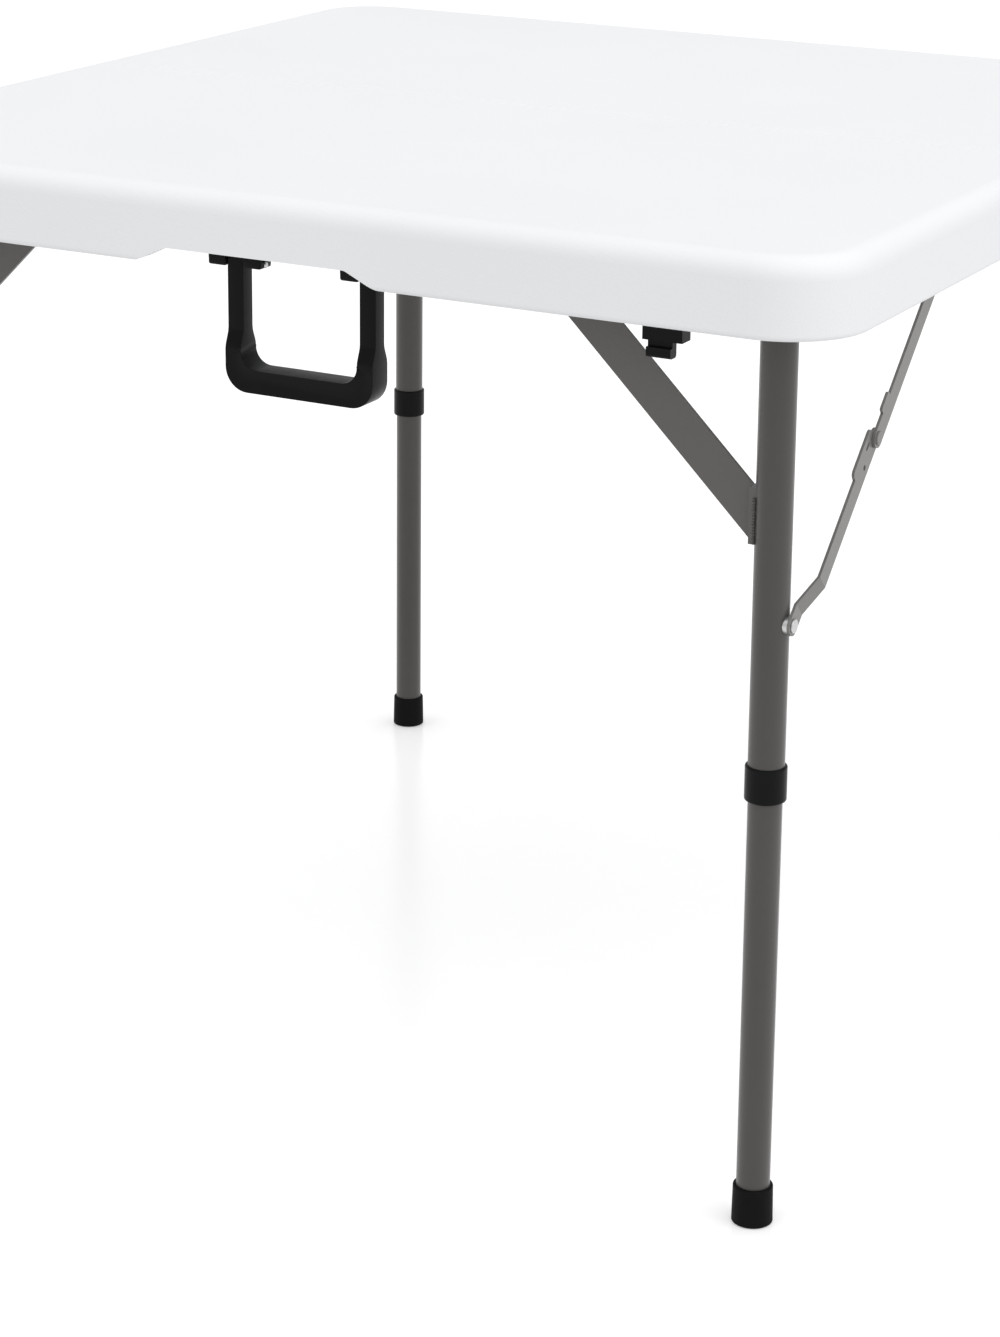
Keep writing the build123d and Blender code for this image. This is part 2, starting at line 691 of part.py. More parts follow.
def latch_hook(x):
    """The sliding hook, with a barb towards the rim."""
    _, y0, y1, bottom, top = latch_slot_box(x, -latch_clearance)
    low = hook_low_x(x)
    high = low + latch_hook_width
    foot = rim_bottom - latch_hook_drop
    stem = block((low, y0, foot), (high, y1, top - latch_clearance))
    barb = block((low, y0 - latch_barb_reach, foot), (high, y1, foot + latch_barb_height))
    hook = stem + barb
    return fillet(hook.edges().filter_by(Axis.X).sort_by(Axis.Z)[:2], latch_edge_radius)


def keeper(x):
    """The ledge inside the far rim, at its near-turned place, that the low end of a hook's barb catches."""
    barb_top = rim_bottom - latch_hook_drop + latch_barb_height
    foot = 2 * hinge_z - barb_top - keeper_room - keeper_height
    start = -(hook_low_x(x) + keeper_catch)
    ledge = block(
        (start, -rim_inner, foot),
        (start + keeper_width, -rim_inner + keeper_depth, foot + keeper_height),
    )
    return fillet(ledge.edges().filter_by(Axis.Z).sort_by(Axis.Y)[-2:], keeper_edge_radius)


def add_latches():
    """Two latches near, two keepers far."""
    keepers = []
    for x in (-latch_x, latch_x):
        name = side_name(x, False)
        save(f"{name}_latch_body", latch_body(x))
        save(f"{name}_latch_hook", latch_hook(x))
        keepers.append(keeper(x))
    save("latch_keepers", Compound(children=keepers), True)


def fixing_pads(seats):
    """Patches of the slab, as centre and half sizes, that the dimples stay clear of."""
    reach = dimple_mouth_radius + screw_head_radius
    return [(x, y, reach, reach) for x, y, z in seats]


def add_half_top(half, up_seats, seam_seats, turned):
    """A half top with its screws: those that run up into the slab and those into the seam rim."""
    up, along = (0, 0, 1), (0, 1, 0)
    shell = half_shell() - hinge_pockets() - screw_holes(up_seats, up) - screw_holes(seam_seats, along)
    for cone in dimples(fixing_pads(up_seats)):
        shell -= cone
    save(f"{half}_top", shell, turned)
    screws = [screw(seat, up) for seat in up_seats] + [screw(seat, along) for seat in seam_seats]
    save(f"{half}_top_screws", Compound(children=screws), turned)


def build():
    """Makes every piece and writes one STEP file for each."""
    near_seats = add_leg_frame("near", near_leg_x, False)
    far_seats = add_leg_frame("far", far_leg_x, True)
    add_hinges()
    add_handle()
    add_latches()
    handle_seats = handle_base_screws(-1) + handle_base_screws(1)
    add_half_top("near", near_seats + handle_seats, hinge_screws(), False)
    add_half_top("far", far_seats, hinge_screws(), True)
    os.makedirs("parts", exist_ok=True)
    for name, shape in parts.items():
        export_step(shape, f"parts/{name}.step")
    print(len(parts), "nodes")
    print("stay links", round(stay_upper_length, 2), round(stay_lower_length, 2), round(stay_angle, 3))


build()
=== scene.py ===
"""Folding table: finishes, small hardware, floor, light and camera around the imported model.

Lengths are in metres, with +Z up.
"""

import json
import math

import bmesh
import bpy
from mathutils import Matrix, Vector


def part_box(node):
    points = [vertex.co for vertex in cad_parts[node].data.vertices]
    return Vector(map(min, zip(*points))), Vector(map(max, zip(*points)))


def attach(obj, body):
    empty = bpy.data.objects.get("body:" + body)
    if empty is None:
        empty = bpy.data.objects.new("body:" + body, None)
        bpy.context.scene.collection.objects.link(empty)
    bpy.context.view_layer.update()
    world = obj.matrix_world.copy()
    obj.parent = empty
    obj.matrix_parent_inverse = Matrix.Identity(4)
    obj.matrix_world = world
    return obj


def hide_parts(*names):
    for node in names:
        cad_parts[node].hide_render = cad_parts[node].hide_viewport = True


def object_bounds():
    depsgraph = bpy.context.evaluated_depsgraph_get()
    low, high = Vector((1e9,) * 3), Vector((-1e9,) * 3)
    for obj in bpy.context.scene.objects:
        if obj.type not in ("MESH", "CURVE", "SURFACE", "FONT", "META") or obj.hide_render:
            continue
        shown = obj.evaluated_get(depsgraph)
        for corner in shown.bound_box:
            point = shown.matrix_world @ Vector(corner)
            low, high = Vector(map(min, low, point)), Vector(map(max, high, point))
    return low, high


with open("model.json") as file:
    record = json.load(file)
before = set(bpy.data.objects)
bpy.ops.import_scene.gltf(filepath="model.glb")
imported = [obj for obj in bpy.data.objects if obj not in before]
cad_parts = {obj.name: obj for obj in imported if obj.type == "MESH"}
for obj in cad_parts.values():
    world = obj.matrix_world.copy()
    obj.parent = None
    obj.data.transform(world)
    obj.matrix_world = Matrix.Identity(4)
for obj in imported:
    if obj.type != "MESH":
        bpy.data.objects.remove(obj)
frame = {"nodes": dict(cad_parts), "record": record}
cad_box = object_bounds()
nodes = frame["nodes"]

# Camera, from the photograph's frame of 1000 by 1337 pixels
PHOTO_LONG_SIDE = 1337.0
SENSOR = 36.0
FOCAL_PIXELS = 3395.5
PRINCIPAL_DROP = 227.5
CAMERA_PLACE = (1.2209, -2.3691, 1.1562)
CAMERA_YAW = math.radians(27.925)
CAMERA_PITCH = math.radians(15.359)
CAMERA_ROLL = math.radians(0.544)

# Floor and light
FLOOR_SIZE = 60.0
FLOOR_DROP = 0.0004
FLOOR_GLOW = 0.22
SKY_STRENGTH = 0.76
BACKDROP_STRENGTH = 1.0
OVERHEAD_STRENGTH = 1.0
OVERHEAD_SPREAD = math.radians(100.0)
OVERHEAD_TILT = (math.radians(14.0), math.radians(10.0), 0.0)
SIDE_LIGHT_PLACE = (2.6, -0.2, 1.3)
SIDE_LIGHT_SIZE = 1.6
SIDE_LIGHT_POWER = 8.0

# Tones of the finishes, each as its two ends
WHITE_TONES = ((0.83, 0.84, 0.86), (0.87, 0.875, 0.885))
LEG_TONES = ((0.037, 0.034, 0.0315), (0.056, 0.0515, 0.048))
# Painted light: the gussets are the legs' own powder coat, made lighter where their flat faces catch the
# lamps.
GUSSET_PAINTED_LIGHT_TONES = ((0.080, 0.075, 0.071), (0.116, 0.109, 0.103))
LINK_TONES = ((0.150, 0.146, 0.139), (0.205, 0.199, 0.190))
ZINC_TONES = ((0.46, 0.46, 0.47), (0.62, 0.62, 0.61))
BLACK_TONES = ((0.0026, 0.0028, 0.0033), (0.0050, 0.0052, 0.0058))
RUBBER_TONES = ((0.0030, 0.0030, 0.0034), (0.0075, 0.0075, 0.0078))
FLOOR_TONES = ((0.93, 0.93, 0.93), (0.95, 0.95, 0.95))
LEG_BLOOM = 0.2
BLOOM_ROUGHNESS = 0.45
NO_SQUEEZE = (1.0, 1.0, 1.0)
DRAWN_ALONG_X = (0.08, 1.0, 1.0)

# Sockets of the colour mixing node
MIX_FACTOR = 0
MIX_FIRST = 6
MIX_SECOND = 7
MIX_RESULT = 2

# Tests on meshes
SAME_LENGTH = 1e-5
MERGE_DISTANCE = 1e-6
SORT_DIGITS = 5
ALONG = 0.999
FACES_UP = 0.9
FACES_FLAT = 0.99
FLAT_ANGLE = math.radians(1.0)
SMOOTH_ANGLE = math.radians(35.0)

# Screw heads
SCREW_HEAD_HEIGHT = 0.0024
SCREW_HEAD_ROUND = 0.0015
SCREW_HEAD_SIDES = 28
SCREW_CROSS_LENGTH = 0.0050
SCREW_CROSS_WIDTH = 0.0011
SCREW_CROSS_DEPTH = 0.0013
SCREW_UPRIGHT_EXCESS = 1e-4
SCREW_TURN_STEP = 0.7
HARDWARE_ROUND_STEPS = 4

# Carry handle
HANDLE_ARM_WIDTH = 0.013
HANDLE_ARM_DEPTH = 0.012
HANDLE_GRIP_HEIGHT = 0.017
HANDLE_RAMP_LOW = 0.0305
HANDLE_RAMP_HIGH = 0.046
HANDLE_RAMP_STEPS = 5
HANDLE_OUTER_ROUND = 0.018
HANDLE_OUTER_STEPS = 10
HANDLE_INNER_ROUND = 0.013
HANDLE_INNER_STEPS = 8
HANDLE_HUB_ROUND = 0.0055
HANDLE_HUB_STEPS = 6
HANDLE_PANEL_MARGIN = 0.0042
HANDLE_PANEL_DEPTH = 0.0011
HANDLE_EDGE_ROUND = 0.0014
HANDLE_EDGE_STEPS = 3
HANDLE_EDGE_ANGLE = math.radians(40.0)

# Cheeks under the handle's bases
CHEEK_DROP = 0.005
CHEEK_MARGIN = 0.001
CHEEK_ROOM = 0.0006
CHEEK_ROUND = 0.0018
BOLT_HEAD_RADIUS = 0.0024
BOLT_HEAD_HEIGHT = 0.0016
BOLT_HEAD_ROUND = 0.00112
BOLT_HEAD_SIDES = 24

# Weld beads on the leg frames
WELD_RIPPLE = (0.0015, 0.0014, 0.0013)
WELD_RIPPLE_SIDES = 10
WELD_RIPPLE_RINGS = 6
WELD_RIPPLE_ANGLE = math.radians(80.0)
WELD_PITCH = 0.0019
WELD_WANDER = 0.12
WELD_WANDER_STEP = 2.4
WELD_STAND_OFF = 0.0011
WELD_SHOWN_SHARE = 0.4
LEG_BEAD_START = 0.004
LEG_BEAD_END = 0.034
BAR_BEAD_START = 0.002
BAR_BEAD_END = 0.036
LEG_TUBE_RADIUS = 0.0127
GUSSET_FLANGE_HALF = 0.0075
GUSSET_HALF_THICKNESS = 0.0015


class Socket:
    """A shader socket whose maths is written as plain expressions."""

    def __init__(self, tree, out):
        self.tree = tree
        self.out = out

    def math(self, operation, other):
        return make(self.tree, "ShaderNodeMath", {"operation": operation}, {0: self, 1: other})

    def __add__(self, other):
        return self.math("ADD", other)

    def __radd__(self, other):
        return self.math("ADD", other)

    def __mul__(self, other):
        return self.math("MULTIPLY", other)

    def __rmul__(self, other):
        return self.math("MULTIPLY", other)


def make(tree, kind, settings, values, output=0):
    """Adds a node, sets its settings, then its sockets' values or links, and returns one output."""
    node = tree.nodes.new(kind)
    for name, value in settings.items():
        if name == "stops":
            set_stops(node.color_ramp, value)
        else:
            setattr(node, name, value)
    for key, value in values.items():
        if isinstance(value, Socket):
            tree.links.new(value.out, node.inputs[key])
        else:
            node.inputs[key].default_value = value
    return Socket(tree, node.outputs[output])


def set_stops(ramp, stops):
    """Gives a colour ramp its stops, as place and grey value."""
    while len(ramp.elements) < len(stops):
        ramp.elements.new(1.0)
    for element, (place, grey) in zip(ramp.elements, stops):
        element.position = place
        element.color = (grey, grey, grey, 1.0)


def new_finish(name, **constants):
    """A material with its principled shader, whose constant sockets are set at once."""
    finish = bpy.data.materials.new(name)
    finish.use_nodes = True
    shader = finish.node_tree.nodes["Principled BSDF"]
    for socket, value in constants.items():
        shader.inputs[socket.replace("_", " ")].default_value = value
    return finish, finish.node_tree, shader


def place_on(tree):
    """Object coordinates, in metres."""
    return make(tree, "ShaderNodeTexCoord", {}, {}, "Object")


def noise(tree, where, scale, detail, roughness=0.55, squeeze=NO_SQUEEZE):
    """Smooth noise, squeezed along the axes where it should look drawn out."""
    spot = make(tree, "ShaderNodeMapping", {}, {"Vector": where, "Scale": squeeze})
    values = {"Vector": spot, "Scale": scale, "Detail": detail, "Roughness": roughness}
    return make(tree, "ShaderNodeTexNoise", {}, values, "Fac")


def cells(tree, where, scale):
    """Smoothed distance to the nearest cell point."""
    values = {"Vector": where, "Scale": scale}
    return make(tree, "ShaderNodeTexVoronoi", {"feature": "SMOOTH_F1"}, values, "Distance")


def ramp(tree, value, *stops):
    """Maps a value through grey stops."""
    return make(tree, "ShaderNodeValToRGB", {"stops": stops}, {"Fac": value}, "Color")


def span(share, low, high):
    """Spreads a share from 0 to 1 between two values."""
    return low + (high - low) * share


def blend_colours(tree, factor, tones):
    """Mixes two tones by a factor."""
    first, second = tones
    values = {MIX_FACTOR: factor, MIX_FIRST: (*first, 1.0), MIX_SECOND: (*second, 1.0)}
    return make(tree, "ShaderNodeMix", {"data_type": "RGBA"}, values, MIX_RESULT)


def bump(tree, height, distance, strength, under=None):
    """A bump whose height is worth distance metres."""
    values = {"Height": height, "Distance": distance, "Strength": strength}
    if under is not None:
        values["Normal"] = under
    return make(tree, "ShaderNodeBump", {}, values, "Normal")


def wire(tree, shader, **links):
    """Links what varies to a shader's sockets."""
    for socket, value in links.items():
        tree.links.new(value.out, shader.inputs[socket.replace("_", " ")])


def white_plastic():
    """Moulded white polyethylene with a fine pebble grain and a faint mould waviness."""
    finish, tree, shader = new_finish("white_plastic", Specular_IOR_Level=0.42, IOR=1.5)
    where = place_on(tree)
    grain = cells(tree, where, scale=620.0)
    pebble = ramp(tree, grain, (0.05, 1.0), (0.62, 0.0))
    wave = noise(tree, where, scale=14.0, detail=2.0)
    cloud = noise(tree, where, scale=5.0, detail=4.0)
    colour = blend_colours(tree, cloud, WHITE_TONES)
    rough = span(cloud, low=0.40, high=0.50) + 0.06 * pebble
    relief = bump(tree, wave, distance=0.0006, strength=0.35)
    relief = bump(tree, pebble, distance=0.00012, strength=0.5, under=relief)
    wire(tree, shader, Base_Color=colour, Roughness=rough, Normal=relief)
    return finish


def coated_steel(name, tones, bloom=0.0):
    """Powder coat between two tones, with its orange-peel skin and a bloom where it turns away."""
    finish, tree, shader = new_finish(name, Specular_IOR_Level=0.5, Sheen_Weight=bloom,
                                      Sheen_Roughness=BLOOM_ROUGHNESS)
    where = place_on(tree)
    peel = noise(tree, where, scale=900.0, detail=2.0, roughness=0.5)
    speck = noise(tree, where, scale=2600.0, detail=1.0)
    tone = noise(tree, where, scale=18.0, detail=4.0)
    colour = blend_colours(tree, tone * 0.7 + speck * 0.3, tones)
    rough = span(tone, low=0.27, high=0.40)
    relief = bump(tree, peel, distance=0.00008, strength=0.6)
    wire(tree, shader, Base_Color=colour, Roughness=rough, Normal=relief)
    return finish


def zinc_steel():
    """Bright zinc plating, faintly clouded and drawn."""
    finish, tree, shader = new_finish("zinc_steel", Metallic=1.0)
    where = place_on(tree)
    drawn = noise(tree, where, scale=700.0, detail=3.0, roughness=0.6, squeeze=DRAWN_ALONG_X)
    cloud = noise(tree, where, scale=120.0, detail=4.0)
    colour = blend_colours(tree, cloud, ZINC_TONES)
    rough = span(cloud, low=0.26, high=0.46)
    relief = bump(tree, drawn, distance=0.00003, strength=0.5)
    wire(tree, shader, Base_Color=colour, Roughness=rough, Normal=relief)
    return finish


def black_plastic():
    """Satin black moulded plastic."""
    finish, tree, shader = new_finish("black_plastic", Specular_IOR_Level=0.10)
    where = place_on(tree)
    grain = noise(tree, where, scale=1800.0, detail=2.0)
    tone = noise(tree, where, scale=40.0, detail=3.0)
    colour = blend_colours(tree, tone, BLACK_TONES)
    rough = span(tone, low=0.26, high=0.40)
    relief = bump(tree, grain, distance=0.00003, strength=0.5)
    wire(tree, shader, Base_Color=colour, Roughness=rough, Normal=relief)
    return finish


def black_rubber():
    """Matt black rubber with a dusty bloom."""
    finish, tree, shader = new_finish("black_rubber", Specular_IOR_Level=0.07)
    where = place_on(tree)
    grain = noise(tree, where, scale=1400.0, detail=4.0, roughness=0.7)
    bloom = noise(tree, where, scale=60.0, detail=4.0)
    colour = blend_colours(tree, bloom, RUBBER_TONES)
    rough = span(bloom, low=0.50, high=0.72)
    relief = bump(tree, grain, distance=0.00006, strength=0.6)
    wire(tree, shader, Base_Color=colour, Roughness=rough, Normal=relief)
    return finish


def pale_floor():
    """The studio floor: near white, with a faint gloss and a faint glow."""
    finish, tree, shader = new_finish("pale_floor", Specular_IOR_Level=0.4, Emission_Strength=FLOOR_GLOW)
    cloud = noise(tree, place_on(tree), scale=0.6, detail=2.0)
    colour = blend_colours(tree, cloud, FLOOR_TONES)
    wire(tree, shader, Base_Color=colour, Roughness=span(cloud, low=0.16, high=0.24))
    return finish


finishes = {
    "white_plastic": white_plastic(),
    "grey_steel": coated_steel("grey_steel", LEG_TONES, LEG_BLOOM),
    "zinc_steel": zinc_steel(),
    "black_plastic": black_plastic(),
    "black_rubber": black_rubber(),
}
# The links keep their own lighter grey; the gussets get a painted-light copy of the leg coat, lighter as
# if lit.
lighter_and_painted_light_finishes = {
    "link": coated_steel("link_steel", LINK_TONES),
    "gusset": coated_steel("gusset_steel_painted_light", GUSSET_PAINTED_LIGHT_TONES),
}


def finish_nodes():
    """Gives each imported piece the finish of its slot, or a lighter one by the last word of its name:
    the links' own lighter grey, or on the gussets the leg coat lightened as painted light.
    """
    for part in frame["record"]["subparts"]:
        mesh = nodes[part["node"]].data
        mesh.materials.clear()
        kind = part["node"].split("_")[-1]
        mesh.materials.append(lighter_and_painted_light_finishes.get(kind, finishes[part["material_slot"]]))


def deselect():
    """Nothing selected, so that an operator acts on the new piece alone."""
    bpy.ops.object.select_all(action="DESELECT")


def select_only(piece):
    """Selects one piece and makes it the active one."""
    deselect()
    piece.select_set(True)
    bpy.context.view_layer.objects.active = piece


def shape(piece):
    """Selects one piece and goes into edit mode on it."""
    select_only(piece)
    bpy.ops.object.mode_set(mode="EDIT")


def shaped():
    """Back from edit mode."""
    bpy.ops.object.mode_set(mode="OBJECT")


def pick(piece, kind, test):
    """In edit mode, selects just the faces or edges that pass the test."""
    bpy.ops.mesh.select_mode(type=kind)
    bpy.ops.mesh.select_all(action="DESELECT")
    shell = bmesh.from_edit_mesh(piece.data)
    for part in shell.faces if kind == "FACE" else shell.edges:
        if test(part):
            part.select_set(True)
    bmesh.update_edit_mesh(piece.data)


def middle_of(edge):
    """The middle of an edge."""
    return (edge.verts[0].co + edge.verts[1].co) / 2


def runs_along(edge, axis):
    """Whether an edge runs along an axis, given as its number."""
    way = (edge.verts[1].co - edge.verts[0].co).normalized()
    return abs(way[axis]) > ALONG


def near(a, b):
    """Whether two lengths are the same."""
    return abs(a - b) < SAME_LENGTH


def raise_to(start, end):
    """Extrudes the picked faces straight up."""
    bpy.ops.mesh.extrude_region_move(TRANSFORM_OT_translate={"value": (0, 0, end - start)})


def round_edges(piece, radius, steps, test):
    """Rounds the edges that pass a test on the edge and its middle."""
    pick(piece, "EDGE", lambda e: test(e, middle_of(e)))
    bpy.ops.mesh.bevel(offset=radius, segments=steps, affect="EDGES")


def new_box(name, low, high):
    """A box between two corners, with its place in its mesh."""
    deselect()
    middle = (Vector(low) + Vector(high)) / 2
    bpy.ops.mesh.primitive_cube_add(size=1.0, location=middle)
    piece = bpy.context.object
    piece.name = name
    piece.scale = Vector(high) - Vector(low)
    bpy.ops.object.transform_apply(location=True, rotation=True, scale=True)
    return piece


def apply_modifier(piece, kind, **settings):
    """Adds a modifier with its settings and applies it."""
    modifier = piece.modifiers.new(kind.lower(), kind)
    for name, value in settings.items():
        setattr(modifier, name, value)
    select_only(piece)
    bpy.ops.object.modifier_apply(modifier=modifier.name)


def smooth(piece, angle=SMOOTH_ANGLE):
    """Smooth shading up to an angle."""
    select_only(piece)
    bpy.ops.object.shade_smooth_by_angle(angle=angle)


def copy_of(piece, place):
    """A copy with its own mesh, moved by a matrix that goes into the mesh."""
    twin = piece.copy()
    twin.data = piece.data.copy()
    twin.data.transform(place)
    bpy.context.scene.collection.objects.link(twin)
    return twin


def join(pieces, name):
    """Joins pieces into one object."""
    deselect()
    for piece in pieces:
        piece.select_set(True)
    bpy.context.view_layer.objects.active = pieces[0]
    bpy.ops.object.join()
    pieces[0].name = name
    return pieces[0]


def settle(piece, body, slot):
    """Gives a finished piece its finish, its slot and the body that it rides on."""
    piece.data.materials.clear()
    piece.data.materials.append(finishes[slot])
    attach(piece, body)


def solid_boxes(node):
    """The boxes of a node's separate solids, from a merged copy of its mesh."""
    shell = bmesh.new()
    shell.from_mesh(nodes[node].data)
    bmesh.ops.remove_doubles(shell, verts=shell.verts, dist=MERGE_DISTANCE)
    unseen = set(shell.verts)
    found = []
    while unseen:
        front = [unseen.pop()]
        solid = []
        while front:
            vert = front.pop()
            solid.append(vert.co.copy())
            for edge in vert.link_edges:
                other = edge.other_vert(vert)
                if other in unseen:
                    unseen.remove(other)
                    front.append(other)
        found.append(tuple(Vector(end(c[i] for c in solid) for i in range(3)) for end in (min, max)))
    shell.free()
    return sorted(found, key=lambda box: tuple(round(v, SORT_DIGITS) for v in box[0]))


def screw_head(radius):
    """A pan head with its cross recess, its crown at the origin and facing down."""
    deselect()
    bpy.ops.mesh.primitive_cylinder_add(vertices=SCREW_HEAD_SIDES, radius=radius, depth=SCREW_HEAD_HEIGHT,
                                        location=(0, 0, SCREW_HEAD_HEIGHT / 2))
    head = bpy.context.object
    bpy.ops.object.transform_apply(location=True, rotation=True, scale=True)
    shape(head)
    round_edges(head, SCREW_HEAD_ROUND, HARDWARE_ROUND_STEPS,
                lambda e, m: all(near(v.co.z, 0.0) for v in e.verts) and len(e.link_faces) == 2)
    shaped()
    long, wide = SCREW_CROSS_LENGTH / 2, SCREW_CROSS_WIDTH / 2
    cross = new_box("cross", (-long, -wide, -long), (long, wide, SCREW_CROSS_DEPTH))
    other = new_box("other", (-wide, -long, -long), (wide, long, SCREW_CROSS_DEPTH))
    apply_modifier(cross, "BOOLEAN", operation="UNION", object=other, solver="EXACT")
    apply_modifier(head, "BOOLEAN", operation="DIFFERENCE", object=cross, solver="EXACT")
    for tool in (cross, other):
        bpy.data.objects.remove(tool)
    smooth(head)
    return head


def add_screws(half):
    """Cross-head screws in place of a half's plain ones. Each stands where its solid does."""
    node = f"{half}_top_screws"
    heads = []
    for turn, (low, high) in enumerate(solid_boxes(node)):
        size = high - low
        middle = (low + high) / 2
        upright = size.z > size.x + SCREW_UPRIGHT_EXCESS
        pattern = screw_head((size.x if upright else size.z) / 2)
        spin = Matrix.Rotation(SCREW_TURN_STEP * turn, 4, "Z")
        if upright:
            place = Matrix.Translation((middle.x, middle.y, low.z)) @ spin
        else:
            seam = high.y if half == "near" else low.y
            away = math.pi / 2 if half == "near" else -math.pi / 2
            place = Matrix.Translation((middle.x, seam, middle.z)) @ Matrix.Rotation(away, 4, "X") @ spin
        heads.append(copy_of(pattern, place))
        bpy.data.objects.remove(pattern)
    piece = join(heads, f"{half}_screw_heads")
    settle(piece, f"{half}_half", "zinc_steel")
    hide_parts(node)


def raise_arms(handle, low, high, bar_top):
    """Raises the lower arms from the ends of the handle's bar, and rounds its corners."""
    inner = high.x - HANDLE_ARM_WIDTH
    for x in (-inner, inner):
        bpy.ops.mesh.select_all(action="SELECT")
        bpy.ops.mesh.bisect(plane_co=(x, 0, 0), plane_no=(1, 0, 0))
    pick(handle, "FACE", lambda f: f.normal.z > FACES_UP and abs(f.calc_center_median().x) > inner)
    raise_to(bar_top, low.z + HANDLE_RAMP_LOW)
    bpy.ops.mesh.select_all(action="SELECT")
    bpy.ops.mesh.dissolve_limited(angle_limit=FLAT_ANGLE)
    round_edges(handle, HANDLE_INNER_ROUND, HANDLE_INNER_STEPS,
                lambda e, m: runs_along(e, 1) and near(m.z, bar_top) and near(abs(m.x), inner))
    round_edges(handle, HANDLE_OUTER_ROUND, HANDLE_OUTER_STEPS,
                lambda e, m: runs_along(e, 1) and near(m.z, low.z) and near(abs(m.x), high.x))


def slim_arms(handle, low, high):
    """Eases the arms from the grip's depth to their own, and takes them up to the hubs."""
    ramp_low, ramp_high = low.z + HANDLE_RAMP_LOW, low.z + HANDLE_RAMP_HIGH
    mid_y = (low.y + high.y) / 2
    grip_depth = high.y - low.y
    pick(handle, "FACE", lambda f: f.normal.z > FACES_UP and near(f.calc_center_median().z, ramp_low))
    depth, z = grip_depth, ramp_low
    for step in range(1, HANDLE_RAMP_STEPS + 1):
        part = step / HANDLE_RAMP_STEPS
        ease = part * part * (3 - 2 * part)
        next_depth = grip_depth + (HANDLE_ARM_DEPTH - grip_depth) * ease
        next_z = ramp_low + (ramp_high - ramp_low) * part
        raise_to(z, next_z)
        bpy.ops.transform.resize(value=(1, next_depth / depth, 1), center_override=(0, mid_y, next_z))
        depth, z = next_depth, next_z
    raise_to(z, high.z)
    round_edges(handle, HANDLE_HUB_ROUND, HANDLE_HUB_STEPS,
                lambda e, m: runs_along(e, 0) and near(m.z, high.z))


def add_handle():
    """The carry handle: a deep grip that eases into slim arms, with a sunk panel along its face."""
    low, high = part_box("carry_handle")
    bar_top = low.z + HANDLE_GRIP_HEIGHT
    handle = new_box("handle_bail", low, (high.x, high.y, bar_top))
    shape(handle)
    raise_arms(handle, low, high, bar_top)
    slim_arms(handle, low, high)
    for way in (-1, 1):
        pick(handle, "FACE",
             lambda f: f.normal.y * way > FACES_FLAT and min(v.co.z for v in f.verts) < bar_top)
        bpy.ops.mesh.inset(thickness=HANDLE_PANEL_MARGIN, depth=-HANDLE_PANEL_DEPTH, use_boundary=True)
    shaped()
    apply_modifier(handle, "BEVEL", width=HANDLE_EDGE_ROUND, segments=HANDLE_EDGE_STEPS,
                   limit_method="ANGLE", angle_limit=HANDLE_EDGE_ANGLE)
    smooth(handle, HANDLE_EDGE_ANGLE)
    settle(handle, "carry_handle", "black_plastic")
    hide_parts("carry_handle")


def add_cheeks(side):
    """The two cheeks of a handle base, either side of its arm."""
    low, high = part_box(f"handle_base_{side}")
    outward = -1 if side == "left" else 1
    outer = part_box("carry_handle")[1].x
    arm = sorted((outward * outer, outward * (outer - HANDLE_ARM_WIDTH)))
    cheeks = []
    for start, end in ((low.x, arm[0] - CHEEK_ROOM), (arm[1] + CHEEK_ROOM, high.x)):
        cheek = new_box("cheek", (start, low.y + CHEEK_MARGIN, low.z - CHEEK_DROP),
                        (end, high.y - CHEEK_MARGIN, low.z + CHEEK_MARGIN))
        shape(cheek)
        round_edges(cheek, CHEEK_ROUND, HARDWARE_ROUND_STEPS, lambda e, m: m.z < low.z - CHEEK_MARGIN)
        shaped()
        smooth(cheek)
        cheeks.append(cheek)
    settle(join(cheeks, f"handle_cheeks_{side}"), "near_half", "black_plastic")


def add_bolt(side):
    """A bright bolt head on the inner cheek of a handle base."""
    low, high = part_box(f"handle_base_{side}")
    deselect()
    bpy.ops.mesh.primitive_cylinder_add(vertices=BOLT_HEAD_SIDES, radius=BOLT_HEAD_RADIUS,
                                        depth=BOLT_HEAD_HEIGHT)
    bolt = bpy.context.object
    bolt.name = f"handle_bolt_{side}"
    shape(bolt)
    round_edges(bolt, BOLT_HEAD_ROUND, HARDWARE_ROUND_STEPS,
                lambda e, m: all(v.co.z > 0 for v in e.verts))
    shaped()
    face = high.x if side == "left" else low.x
    turn = Matrix.Rotation(math.pi / 2 if side == "left" else -math.pi / 2, 4, "Y")
    place = Matrix.Translation((face, (low.y + high.y) / 2, low.z - CHEEK_DROP / 2))
    bolt.data.transform(place @ turn)
    smooth(bolt)
    settle(bolt, "near_half", "zinc_steel")


def weld_ripple():
    """One ripple of a weld bead, at the origin."""
    deselect()
    bpy.ops.mesh.primitive_uv_sphere_add(segments=WELD_RIPPLE_SIDES, ring_count=WELD_RIPPLE_RINGS,
                                         radius=1.0)
    ripple = bpy.context.object
    ripple.scale = WELD_RIPPLE
    bpy.ops.object.transform_apply(location=True, rotation=True, scale=True)
    smooth(ripple, WELD_RIPPLE_ANGLE)
    return ripple


def bead(ripple, start, end):
    """A row of ripples along a line, each a little larger or smaller than the last."""
    run = Vector(end) - Vector(start)
    count = max(2, int(run.length / WELD_PITCH))
    turn = Vector((0, 0, 1)).rotation_difference(run.normalized()).to_matrix().to_4x4()
    ripples = []
    for i in range(count + 1):
        wander = 1.0 + WELD_WANDER * math.sin(WELD_WANDER_STEP * i)
        place = Matrix.Translation(Vector(start) + run * (i / count)) @ turn @ Matrix.Scale(wander, 4)
        ripples.append(copy_of(ripple, place))
    return ripples


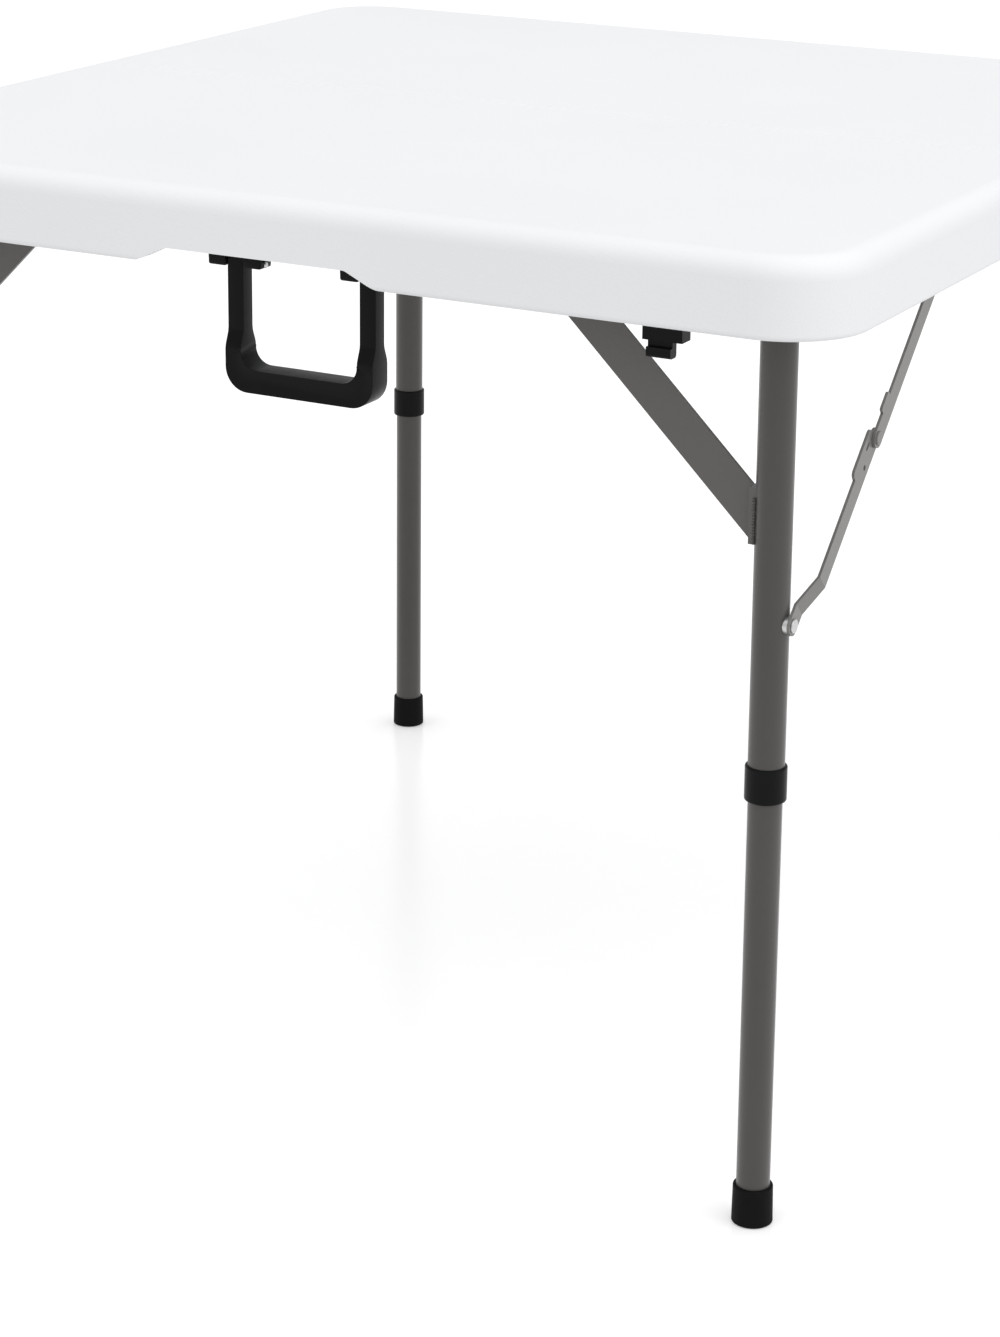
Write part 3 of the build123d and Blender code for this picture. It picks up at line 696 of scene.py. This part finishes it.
def add_welds(half):
    """Weld beads where the gussets meet the legs and the crossbar."""
    ripple = weld_ripple()
    proud = 1.0 + WELD_STAND_OFF / LEG_TUBE_RADIUS
    drop = math.sqrt(LEG_TUBE_RADIUS ** 2 - GUSSET_FLANGE_HALF ** 2)
    beads = []
    for side in ("left", "right"):
        low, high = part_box(f"{half}_{side}_gusset")
        leg_low, leg_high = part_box(f"{half}_{side}_upper_leg")
        leg = (leg_low + leg_high) / 2
        inward = -math.copysign(1.0, leg.x)
        leg_side = leg.x + inward * drop * proud
        leg_start, leg_end = low.z + LEG_BEAD_START, low.z + LEG_BEAD_END
        inner = low.x if inward < 0 else high.x
        bar_start, bar_end = inner - inward * BAR_BEAD_START, inner - inward * BAR_BEAD_END
        for way in (-1, 1):
            y = leg.y + way * GUSSET_FLANGE_HALF * proud
            beads += bead(ripple, (leg_side, y, leg_start), (leg_side, y, leg_end))
            y = leg.y + way * (GUSSET_HALF_THICKNESS + WELD_RIPPLE[1] * WELD_SHOWN_SHARE)
            beads += bead(ripple, (bar_start, y, high.z), (bar_end, y, high.z))
    bpy.data.objects.remove(ripple)
    piece = join(beads, f"{half}_welds")
    settle(piece, f"{half}_leg_frame", "grey_steel")


def add_floor():
    """The studio floor, just under the feet."""
    deselect()
    bpy.ops.mesh.primitive_plane_add(size=FLOOR_SIZE, location=(0, 0, -FLOOR_DROP))
    floor = bpy.context.object
    floor.name = "floor"
    floor.data.materials.append(pale_floor())
    floor.visible_diffuse = False


def new_object(name, data):
    """A new object in the scene, for a light or the camera."""
    holder = bpy.data.objects.new(name, data)
    bpy.context.scene.collection.objects.link(holder)
    return holder


def add_overhead_light():
    """A wide light from above."""
    lamp = bpy.data.lights.new("overhead", "SUN")
    lamp.energy = OVERHEAD_STRENGTH
    lamp.angle = OVERHEAD_SPREAD
    new_object("overhead", lamp).rotation_euler = OVERHEAD_TILT


def add_side_light(target):
    """A soft square lamp low at one side, which models the rim and the tubes."""
    lamp = bpy.data.lights.new("side", "AREA")
    lamp.size = SIDE_LIGHT_SIZE
    lamp.energy = SIDE_LIGHT_POWER
    holder = new_object("side", lamp)
    holder.location = SIDE_LIGHT_PLACE
    aim = Vector(target) - Vector(SIDE_LIGHT_PLACE)
    holder.rotation_euler = aim.to_track_quat("-Z", "Y").to_euler()


def add_surround():
    """A pale surround, which the camera sees as white."""
    world = bpy.data.worlds.new("studio")
    bpy.context.scene.world = world
    world.use_nodes = True
    tree = world.node_tree
    surround = tree.nodes["Background"]
    surround.inputs["Color"].default_value = (1.0, 1.0, 1.0, 1.0)
    seen = make(tree, "ShaderNodeLightPath", {}, {}, "Is Camera Ray")
    wire(tree, surround, Strength=span(seen, SKY_STRENGTH, BACKDROP_STRENGTH))
    bpy.context.scene.view_settings.view_transform = "Standard"


def add_camera():
    """The camera at the photograph's viewing angle."""
    data = bpy.data.cameras.new("camera")
    data.sensor_fit = "AUTO"
    data.sensor_width = SENSOR
    data.lens = FOCAL_PIXELS * SENSOR / PHOTO_LONG_SIDE
    data.shift_y = -PRINCIPAL_DROP / PHOTO_LONG_SIDE
    camera = new_object("camera", data)
    camera.location = CAMERA_PLACE
    turn = Matrix.Rotation(CAMERA_YAW, 4, "Z") @ Matrix.Rotation(math.pi / 2 - CAMERA_PITCH, 4, "X")
    turn = turn @ Matrix.Rotation(CAMERA_ROLL, 4, "Z")
    camera.rotation_euler = turn.to_euler()
    bpy.context.scene.camera = camera


finish_nodes()
for half in ("near", "far"):
    add_screws(half)
    add_welds(half)
add_handle()
for side in ("left", "right"):
    add_cheeks(side)
    add_bolt(side)
add_floor()
add_overhead_light()
add_side_light((cad_box[0] + cad_box[1]) / 2)
add_surround()
add_camera()
